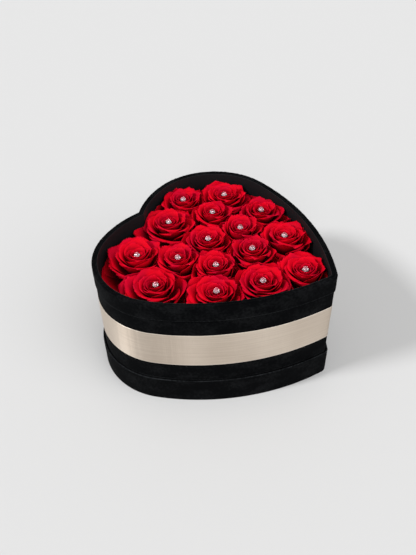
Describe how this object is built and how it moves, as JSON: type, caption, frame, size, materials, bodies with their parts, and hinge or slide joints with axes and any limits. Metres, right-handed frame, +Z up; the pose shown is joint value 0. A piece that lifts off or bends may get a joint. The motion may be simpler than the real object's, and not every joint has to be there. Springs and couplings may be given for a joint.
{
  "type": "valentine heart box",
  "caption": "Heart-shaped velvet gift box with a satin ribbon, standing in its upturned lid and filled with red roses that carry crystal pins.",
  "frame": {"origin": "centre of the overall outline, at the underside of the upturned lid", "axes": "+Z up through the roses, -Y towards the tip of the heart, +X to the right when the tip faces the viewer"},
  "size_m": [0.32, 0.3071, 0.171],
  "materials": {
    "velvet": "black velvet over board",
    "board": "black grey board",
    "lining": "smooth black lining paper",
    "ribbon": "cream satin",
    "liner": "waterproof liner",
    "foam": "dry dark green floral foam",
    "petal": "velvety red petals",
    "stem": "green stem",
    "pin": "plated steel",
    "crystal": "clear faceted"
  },
  "bodies": {
    "lid": {"lid_panel": "velvet", "lid_skirt": "velvet"},
    "box": {"base_board": "board", "body_wall": "velvet", "rim_collar": "velvet", "inner_sleeve": "velvet", "lining": "lining", "ribbon_band": "ribbon"},
    "insert": {"liner_tray": "liner", "foam_block": "foam", "crystals": "crystal", "rose_01": "petal", "rose_02": "petal", "rose_03": "petal", "rose_04": "petal", "rose_05": "petal", "rose_06": "petal", "rose_07": "petal", "rose_08": "petal", "rose_09": "petal", "rose_10": "petal", "rose_11": "petal", "rose_12": "petal", "rose_13": "petal", "rose_14": "petal", "rose_15": "petal", "rose_16": "petal", "stem_01": "stem", "stem_02": "stem", "stem_03": "stem", "stem_04": "stem", "stem_05": "stem", "stem_06": "stem", "stem_07": "stem", "stem_08": "stem", "stem_09": "stem", "stem_10": "stem", "stem_11": "stem", "stem_12": "stem", "stem_13": "stem", "stem_14": "stem", "stem_15": "stem", "stem_16": "stem", "pin_01": "pin", "pin_02": "pin", "pin_03": "pin", "pin_04": "pin", "pin_05": "pin", "pin_06": "pin", "pin_07": "pin", "pin_08": "pin", "pin_09": "pin", "pin_10": "pin", "pin_11": "pin", "pin_12": "pin", "pin_13": "pin", "pin_14": "pin", "pin_15": "pin", "pin_16": "pin"}
  },
  "joints": [
    {"name": "box_lift", "type": "slide", "parent": "lid", "child": "box", "axis": [0, 0, 1], "range_m": [0, 0.05]},
    {"name": "insert_lift", "type": "slide", "parent": "box", "child": "insert", "axis": [0, 0, 1], "range_m": [0, 0.18]}
  ]
}
